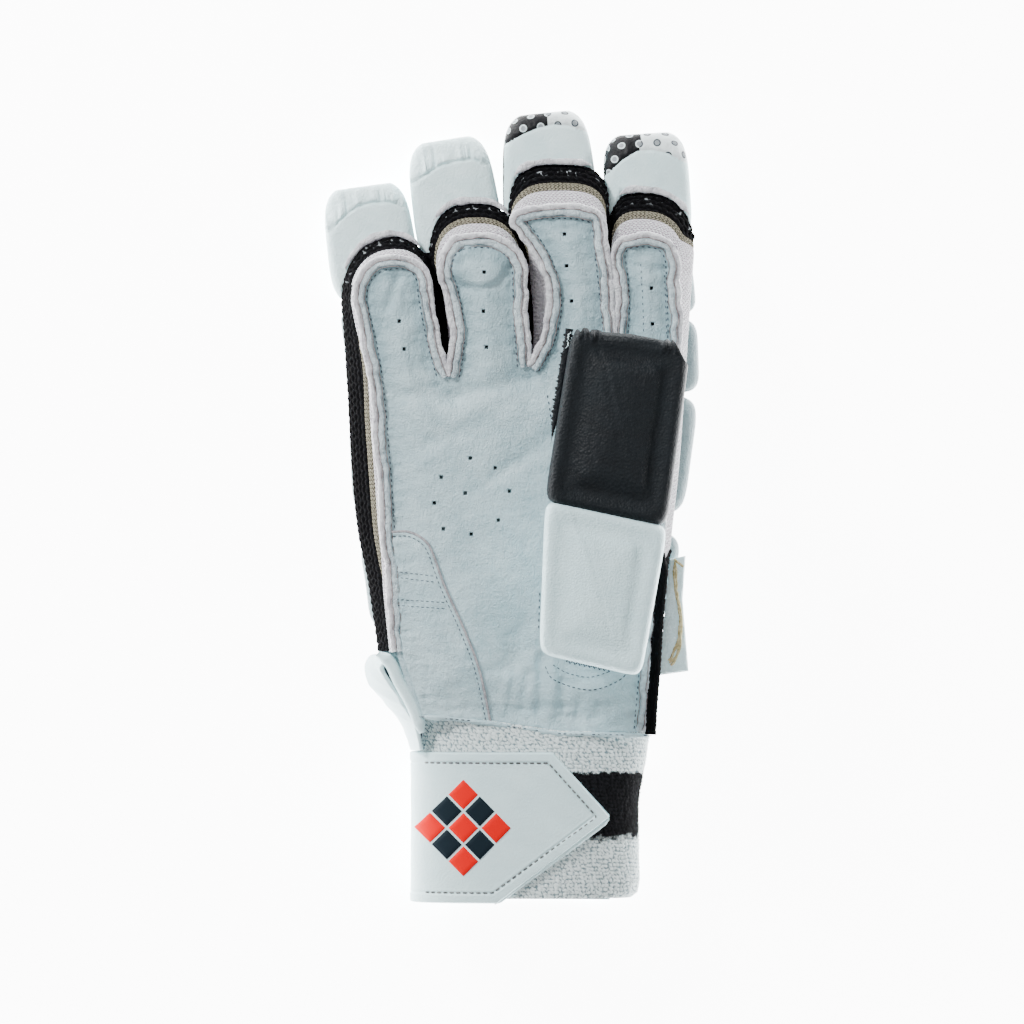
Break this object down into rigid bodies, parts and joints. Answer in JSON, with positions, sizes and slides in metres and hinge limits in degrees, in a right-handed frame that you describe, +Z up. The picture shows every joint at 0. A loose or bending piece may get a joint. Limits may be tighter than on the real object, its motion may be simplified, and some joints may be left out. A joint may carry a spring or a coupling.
{
  "type": "cricket batting glove",
  "caption": "Right-hand cricket batting glove with padded fingers and thumb, vented leather palm, mesh gussets, knitted cuff and wrist strap, lying on its back",
  "frame": {"origin": "middle of the bottom of the glove's box, on the surface that it lies on", "axes": "+Y points from the wrist to the fingertips, +Z up out of the palm, +X across the hand towards the thumb"},
  "size_m": [0.1344, 0.2904, 0.0699],
  "materials": {
    "palm_leather": "soft matt full-grain leather, slightly blue-white",
    "tip_leather": "smooth white coated leather, gathered at the tip",
    "white_leather": "smooth white coated leather over foam",
    "white_knit": "white ribbed knit tape",
    "khaki_weave": "khaki woven tape",
    "black_mesh": "black open mesh",
    "thumb_black": "moulded black coated leather with fine grain",
    "thumb_white": "moulded white coated leather",
    "strap_leather": "smooth white coated leather, stitched",
    "cuff_knit": "white towelling knit with a black band"
  },
  "bodies": {
    "root": {"back_shell": "white_leather", "little_tip_pad": "tip_leather", "little_middle_roll": "white_leather", "little_base_roll": "white_leather", "little_knuckle_pad": "white_leather", "ring_tip_pad": "tip_leather", "ring_middle_roll": "white_leather", "ring_base_roll": "white_leather", "ring_knuckle_pad": "white_leather", "middle_tip_pad": "tip_leather", "middle_middle_roll": "white_leather", "middle_base_roll": "white_leather", "middle_knuckle_pad": "white_leather", "index_tip_pad": "tip_leather", "index_middle_roll": "white_leather", "index_base_roll": "white_leather", "index_knuckle_pad": "white_leather", "hand_back_pad": "white_leather", "wrist_back_pad": "white_leather", "little_black_band": "black_mesh", "little_khaki_band": "khaki_weave", "little_white_band": "white_knit", "ring_black_band": "black_mesh", "ring_khaki_band": "khaki_weave", "ring_white_band": "white_knit", "middle_black_band": "black_mesh", "middle_khaki_band": "khaki_weave", "middle_white_band": "white_knit", "index_black_band": "black_mesh", "index_khaki_band": "khaki_weave", "index_white_band": "white_knit", "palm_leather": "palm_leather", "heel_patch": "palm_leather", "thumb_sleeve": "palm_leather", "thumb_black_pad": "thumb_black", "thumb_white_pad": "thumb_white", "cuff_knit": "cuff_knit", "wrist_strap": "strap_leather", "wrist_loop": "strap_leather", "side_flap": "palm_leather"}
  },
  "joints": []
}
